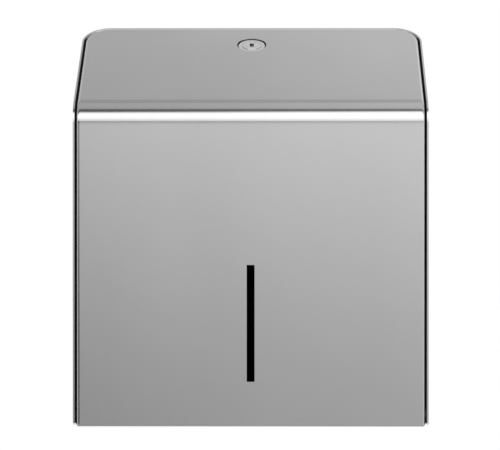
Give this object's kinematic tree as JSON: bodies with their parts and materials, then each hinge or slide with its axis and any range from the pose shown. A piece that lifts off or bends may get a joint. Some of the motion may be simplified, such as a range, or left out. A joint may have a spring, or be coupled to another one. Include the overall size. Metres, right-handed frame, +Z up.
{
  "type": "jumbo toilet roll dispenser",
  "caption": "Wall-mounted jumbo toilet roll dispenser: folded stainless steel shell, drop-front cover with sloping keyed lid, level slot and a spinning hub for the roll.",
  "frame": {"origin": "centre of the wall-screw pattern on the shell's back face", "axes": "+X to the right seen from the front, +Y into the wall, +Z up"},
  "size_m": [0.272, 0.124, 0.3125],
  "materials": {
    "stainless_steel": "satin, with a fine vertical grain",
    "tear_bar_steel": "bright rolled",
    "plated_steel": "zinc plated",
    "lock_face": "satin nickel",
    "black_plastic": "fine matte, moulded",
    "black_rubber": "matte rubber",
    "smoked_plastic": "smoked, nearly black",
    "nylon": "natural nylon"
  },
  "bodies": {
    "housing": {"back_shell": "stainless_steel", "edge_trim_left": "black_plastic", "edge_trim_right": "black_plastic", "bottom_plate": "stainless_steel", "tear_bar_left": "tear_bar_steel", "tear_bar_right": "tear_bar_steel", "tear_bar_rivets": "plated_steel", "hinge_stud_left": "plated_steel", "hinge_stud_right": "plated_steel", "hinge_clips": "plated_steel", "spindle_plate": "plated_steel", "spindle_nuts": "plated_steel", "spindle_axle": "plated_steel", "rear_washer": "nylon", "front_washer": "nylon", "axle_clip": "plated_steel", "lock_keeper": "plated_steel"},
    "cover": {"front_cover": "stainless_steel", "level_window": "smoked_plastic", "lock_barrel": "lock_face", "lock_seal": "black_rubber", "lock_nuts": "plated_steel"},
    "lock": {"lock_core": "lock_face", "lock_cam": "plated_steel", "cam_screw": "plated_steel"},
    "hub": {"spindle_hub": "black_plastic", "hub_cap": "black_plastic"}
  },
  "joints": [
    {"name": "cover_hinge", "type": "hinge", "parent": "housing", "child": "cover", "pos_m": [0, -0.114, -0.14], "axis": [1, 0, 0], "range_deg": [0, 100]},
    {"name": "lock_turn", "type": "hinge", "parent": "cover", "child": "lock", "pos_m": [0, -0.0272, 0.14742], "axis": [0, -0.4848, 0.8746], "range_deg": [0, 90]},
    {"name": "hub_spin", "type": "hinge", "parent": "housing", "child": "hub", "pos_m": [0, -0.05, -0.022], "axis": [0, 1, 0], "continuous": true}
  ]
}
